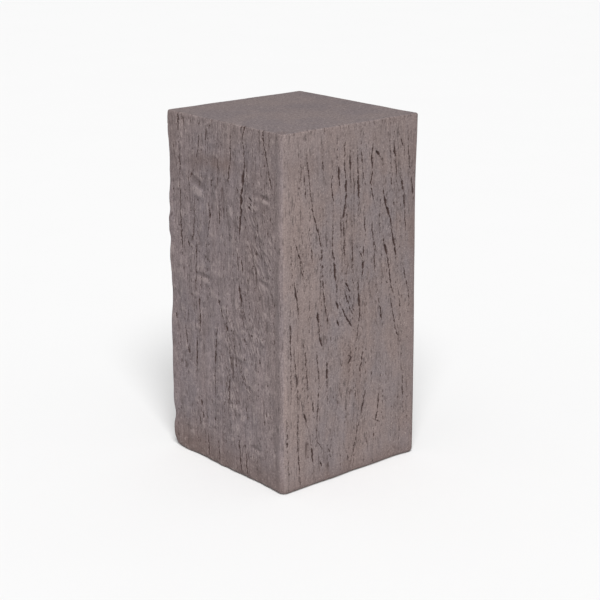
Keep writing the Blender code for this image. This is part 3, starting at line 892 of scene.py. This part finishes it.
def closed_mesh(relief):
    """One closed mesh of sides, top and underside, carrying the shade painted into its cuts, its stains and
    the shade painted into the top's dip, and how sunken it is, which paints shade and highlight.
    """
    side = relief.surface()
    top = top_rings(side[-1])
    grid = np.concatenate([side, top])
    lines, columns = grid.shape[:2]
    # How sunken each point is, which paints shade into hollows and highlights onto ridges
    total = relief.height - CAVITY_OF_CHECKS * relief.depth
    cavity = sum(share * (smeared(total, *window) - total) for share, *window in CAVITY_WINDOWS)
    cavity /= CAVITY_SCALE
    # Painted highlight, partly wear, along the top edges and the vertical corners
    upper_edge = np.where(relief.levels > BLOCK_HEIGHT / 2, relief.insets / TOP_EDGE_RADIUS, 0)
    corners = CORNER_WEAR_AND_HIGHLIGHT_SHARE * (1 - relief.facing.max(axis=1))
    cavity -= ARRIS_WEAR_AND_HIGHLIGHT * np.maximum(upper_edge[:, None], corners)
    even = np.zeros(top.shape[:2])
    carried = {
        "split": np.concatenate([relief.split, even]),
        # Stains on the sides, and painted shade in the top's dip
        "stain_and_dip_shade": np.concatenate([relief.stain_and_dip_shade, DIP_PAINTED_SHADE * in_dip(top)]),
        "cavity": np.concatenate([np.clip(cavity, -1, 1), even]),
    }
    centres = np.array([(0.0, 0.0, top[-1, :, 2].mean()), (0.0, 0.0, 0.0)])
    points = np.concatenate([grid.reshape(-1, 3), centres])
    here = np.arange(lines * columns).reshape(lines, columns)
    beside = np.roll(here, -1, axis=1)
    quads = np.stack([here[:-1], beside[:-1], beside[1:], here[1:]], axis=-1).reshape(-1, 4)
    crown = np.stack([here[-1], beside[-1], np.full(columns, lines * columns)], axis=-1)
    base = np.stack([beside[0], here[0], np.full(columns, lines * columns + 1)], axis=-1)
    mesh = bpy.data.meshes.new("timber")
    faces = quads.tolist() + crown.tolist() + base.tolist()
    mesh.from_pydata(points.tolist(), [], faces)
    for name, values in carried.items():
        layer = mesh.attributes.new(name, "FLOAT", "POINT")
        layer.data.foreach_set("value", np.append(values.ravel(), (0, 0)).astype(np.float32))
    return mesh


def thinned(mesh):
    """The mesh with its triangles brought down to their budget, most kept where most relief is."""
    made = sum(len(face.vertices) - 2 for face in mesh.polygons)
    dense = bpy.data.objects.new("dense", mesh)
    bpy.context.scene.collection.objects.link(dense)
    thin = dense.modifiers.new("thin", "DECIMATE")
    thin.ratio = TRIANGLE_BUDGET / made
    thin.use_collapse_triangulate = True
    bpy.context.view_layer.update()
    light = bpy.data.meshes.new_from_object(dense.evaluated_get(bpy.context.evaluated_depsgraph_get()))
    bpy.data.objects.remove(dense)
    bpy.data.meshes.remove(mesh)
    places = np.empty(len(light.vertices) * 3, np.float32)
    light.vertices.foreach_get("co", places)
    low, high = (np.tile(np.array(end, np.float32), len(light.vertices)) for end in cad_box)
    light.vertices.foreach_set("co", np.clip(places, low, high))
    light.name = "timber"
    light.polygons.foreach_set("use_smooth", [True] * len(light.polygons))
    return light


class Nodes:
    """Short ways to put a material's nodes together."""

    def __init__(self, name):
        self.material = bpy.data.materials.new(name)
        self.material.use_nodes = True
        self.tree = self.material.node_tree
        self.shader = self.tree.nodes["Principled BSDF"]

    def add(self, kind, inputs=(), **settings):
        """A new node; inputs are pairs of a socket's name or number and a value or output."""
        node = self.tree.nodes.new(kind)
        for name, value in settings.items():
            setattr(node, name, value)
        for socket, value in inputs:
            self.feed(node.inputs[socket], value)
        return node

    def feed(self, socket, value):
        """Links an output to a socket, or sets a plain value."""
        if isinstance(value, bpy.types.NodeSocket):
            self.tree.links.new(value, socket)
        else:
            socket.default_value = value

    def noise(self, space, scale, stretch, detail, roughness):
        """Noise in object space, from 0 to 1, with its bumps shortened by stretch along each axis."""
        placed = self.add("ShaderNodeMapping", [("Vector", space), ("Scale", stretch)])
        inputs = [("Vector", placed.outputs[0]), ("Scale", scale), ("Detail", detail)]
        return self.add("ShaderNodeTexNoise", inputs + [("Roughness", roughness)]).outputs[0]

    def field(self, name):
        """What the mesh carries under a name."""
        return self.add("ShaderNodeAttribute", attribute_name=name).outputs["Fac"]

    def parts(self, vector):
        """A vector's parts along X, Y and Z."""
        return self.add("ShaderNodeSeparateXYZ", [("Vector", vector)]).outputs

    def ramp(self, value, low, high, to_low=0.0, to_high=1.0):
        """Value brought smoothly from low..high to to_low..to_high."""
        inputs = enumerate((value, low, high, to_low, to_high))
        return self.add("ShaderNodeMapRange", inputs, interpolation_type="SMOOTHSTEP").outputs[0]

    def maths(self, operation, first, second):
        """Two numbers put together."""
        return self.add("ShaderNodeMath", [(0, first), (1, second)], operation=operation).outputs[0]

    def plus(self, first, second):
        """Their sum."""
        return self.maths("ADD", first, second)

    def times(self, first, *others):
        """The product of all."""
        for other in others:
            first = self.maths("MULTIPLY", first, other)
        return first

    def layers(self, under, *over):
        """A colour with others laid over it in turn, each a share of cover and a colour."""
        for share, shade in over:
            inputs = [("Factor", share), (6, under), (7, shade)]
            under = self.add("ShaderNodeMix", inputs, data_type="RGBA").outputs[2]
        return under


def timber_material():
    """Grey-brown weathered timber: clouds, fibre streaks, stains and a brown foot; painted shade darkens
    the checks, the hollows, the top's dip, the right side, the whole top and its back, and the left face,
    which is also more mauve; painted highlights pale the ridges, the edges and the front corner.
    """
    n = Nodes("weathered_timber")
    space = n.add("ShaderNodeTexCoord").outputs["Object"]
    across, inward, height = n.parts(space)
    normal = n.parts(n.add("ShaderNodeNewGeometry").outputs["Normal"])
    leftward = n.ramp(normal[0], -0.85, -0.45, 1.0, 0.0)
    upward = n.ramp(normal[2], 0.70, 0.97)
    combed = n.ramp(leftward, 0.0, 1.0, 0.6, 1.15)
    corner = n.plus(across, inward)
    clouds, hues, bands, speckle = (n.noise(space, *kind) for kind in (CLOUDS, HUES, BANDS, SPECKLE))
    streaks, threads, flecks, grain = (n.noise(space, *kind) for kind in (STREAKS, THREADS, FLECKS, GRAIN))

    upper_edge = n.ramp(n.plus(height, n.times(hues, 0.08)), 0.585, 0.650, 0.0, 0.55)
    # Painted highlight beside the front corner, strongest on the front face
    beside_corner = n.ramp(corner, -0.300, -0.190, 0.42, 0.0)
    # Painted shade in the hollow beside the front corner on the left face
    in_hollow = n.times(n.ramp(inward, -0.146, -0.134), n.ramp(inward, -0.126, -0.104, 1.0, 0.0))
    from_foot = n.plus(n.plus(height, n.times(leftward, -0.030)), n.times(hues, 0.060))
    side = n.layers(
        COOL,
        (n.ramp(clouds, 0.30, 0.68), WARM),
        (n.ramp(hues, 0.46, 0.64, 0.0, 0.55), BROWN),
        # The left face's mauve tone, partly painted shade, laid on by its facing
        (n.times(leftward, 0.50), LEFT_MAUVE_AND_SHADE),
        (upper_edge, WARM),
        # Painted highlight beside the front corner
        (n.times(beside_corner, n.ramp(leftward, 0.0, 1.0, 1.0, 0.6)), FRONT_CORNER_HIGHLIGHT),
        # Painted shade in the hollow beside the front corner on the left face
        (n.times(in_hollow, leftward, 0.22), DARK),
        # Painted shade, darker towards the right
        (n.ramp(across, 0.010, 0.130, 0.0, 0.10), DARK),
        (n.ramp(bands, 0.34, 0.52, 0.15, 0.0), DARK),
        (n.times(n.ramp(streaks, 0.36, 0.66, 0.19, 0.0), combed), DARK),
        (n.times(n.ramp(threads, 0.30, 0.52, 0.36, 0.0), combed), DARK),
        (n.times(n.ramp(threads, 0.55, 0.75, 0.0, 0.28), combed), PALE),
        (n.ramp(flecks, 0.59, 0.71, 0.0, 0.68), DARK),
        (n.ramp(from_foot, -0.010, 0.070, 0.75, 0.0), FOOT_BROWN),
    )
    # The top in darker copies of the sides' colours as painted shade, with speckle
    top = n.layers(
        SHADED_TOP_COOL,
        (n.ramp(clouds, 0.34, 0.66), SHADED_TOP_WARM),
        (n.ramp(speckle, 0.30, 0.50, 0.68, 0.0), DARK),
        (n.ramp(speckle, 0.54, 0.72, 0.0, 0.60), PALE),
        # Painted shade, darker towards the back and right of the top
        (n.ramp(corner, -0.270, 0.200, 0.0, 0.13), DARK),
    )
    # Stains, and the painted shade in the top's dip
    patchy = n.times(n.field("stain_and_dip_shade"), n.ramp(hues, 0.30, 0.65, 0.5, 1.2))
    cavity = n.field("cavity")
    base = n.layers(
        side,
        (upward, top),
        # Stains, and painted shade in the top's dip
        (n.maths("MINIMUM", patchy, 0.9), FOOT_BROWN),
        (n.ramp(grain, 0.28, 0.50, 0.68, 0.0), DARK),
        (n.ramp(grain, 0.52, 0.74, 0.0, 0.65), PALE),
        # Painted shade in hollows, and painted highlight on ridges and edges
        (n.ramp(cavity, 0.05, 0.9, 0.0, 0.45), DARK),
        (n.ramp(cavity, -0.75, -0.08, 0.32, 0.0), PALE),
        # Painted shade inside the checks, ticks, nicks, rifts and pits
        (n.ramp(n.field("split"), 0.05, 0.75, 0.0, 0.97), CHECK_SHADE_BROWN),
    )
    n.feed(n.shader.inputs["Base Color"], base)
    n.feed(n.shader.inputs["Roughness"], n.ramp(grain, 0.3, 0.7, 0.78, 0.93))
    n.feed(n.shader.inputs["Specular IOR Level"], TIMBER_SHEEN)

    fibre_lift = n.plus(n.plus(n.times(threads, 0.9), streaks), n.times(flecks, -0.6))
    side_lift = n.times(fibre_lift, combed, n.maths("SUBTRACT", 1.0, upward))
    lift = n.plus(side_lift, n.times(grain, 0.8))
    bump = n.add("ShaderNodeBump", [("Strength", 0.8), ("Distance", BUMP_HEIGHT), ("Height", lift)])
    n.feed(n.shader.inputs["Normal"], bump.outputs[0])
    return n.material


def floor_material():
    """An even matt white with a trace of unevenness."""
    n = Nodes("floor")
    mottle = n.noise(n.add("ShaderNodeTexCoord").outputs["Object"], *FLOOR_MOTTLE)
    n.feed(n.shader.inputs["Base Color"], n.layers(FLOOR_SHADE, (mottle, FLOOR_WHITE)))
    n.feed(n.shader.inputs["Roughness"], FLOOR_ROUGHNESS)
    return n.material


def pedestal():
    """The finished block in place of its solid."""
    mesh = thinned(closed_mesh(sides()))
    block = bpy.data.objects.new("timber_block", mesh)
    bpy.context.scene.collection.objects.link(block)
    mesh.materials.clear()
    mesh.materials.append(timber_material())
    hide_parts(NODE)
    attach(block, "root")


def direction(azimuth, elevation):
    """Unit vector towards an azimuth, from the front round to the right, and an elevation."""
    turn, rise = math.radians(azimuth), math.radians(elevation)
    level = math.cos(rise)
    return Vector((math.sin(turn) * level, -math.cos(turn) * level, math.sin(rise)))


def camera():
    """The photo's viewpoint."""
    roll = math.radians(VIEW_ROLL)
    back = direction(VIEW_AZIMUTH, VIEW_ELEVATION)
    level = Vector((0, 0, 1)).cross(back).normalized()
    upright = back.cross(level)
    right = math.cos(roll) * level + math.sin(roll) * upright
    up = math.cos(roll) * upright - math.sin(roll) * level
    eye = back * VIEW_DISTANCE + right * VIEW_AIM[0] + up * VIEW_AIM[1]
    eye.z += BLOCK_HEIGHT / 2
    lens = bpy.data.cameras.new("camera")
    lens.lens = VIEW_LENS
    lens.sensor_width = SENSOR_WIDTH
    lens.clip_start, lens.clip_end = VIEW_REACH
    seen = bpy.data.objects.new("camera", lens)
    turn = Matrix((right, up, back)).transposed()
    seen.matrix_world = Matrix.Translation(eye) @ turn.to_4x4()
    bpy.context.scene.collection.objects.link(seen)
    bpy.context.scene.camera = seen


def studio():
    """A pale floor under soft light."""
    bpy.ops.mesh.primitive_plane_add(size=FLOOR_WIDTH, location=(0, 0, 0))
    floor = bpy.context.object
    floor.name = "floor"
    floor.data.materials.append(floor_material())
    world = bpy.data.worlds.new("studio")
    world.use_nodes = True
    surround = world.node_tree.nodes["Background"]
    surround.inputs["Color"].default_value = WORLD_WHITE
    surround.inputs["Strength"].default_value = WORLD_STRENGTH
    bpy.context.scene.world = world
    light = bpy.data.lights.new("key", "SUN")
    light.energy = KEY_STRENGTH
    light.angle = math.radians(KEY_ANGLE)
    lamp = bpy.data.objects.new("key", light)
    lamp.rotation_euler = direction(KEY_AZIMUTH, KEY_ELEVATION).to_track_quat("Z", "Y").to_euler()
    bpy.context.scene.collection.objects.link(lamp)
    bpy.context.scene.view_settings.view_transform = "Standard"
    bpy.context.scene.view_settings.look = "None"


camera()
pedestal()
studio()
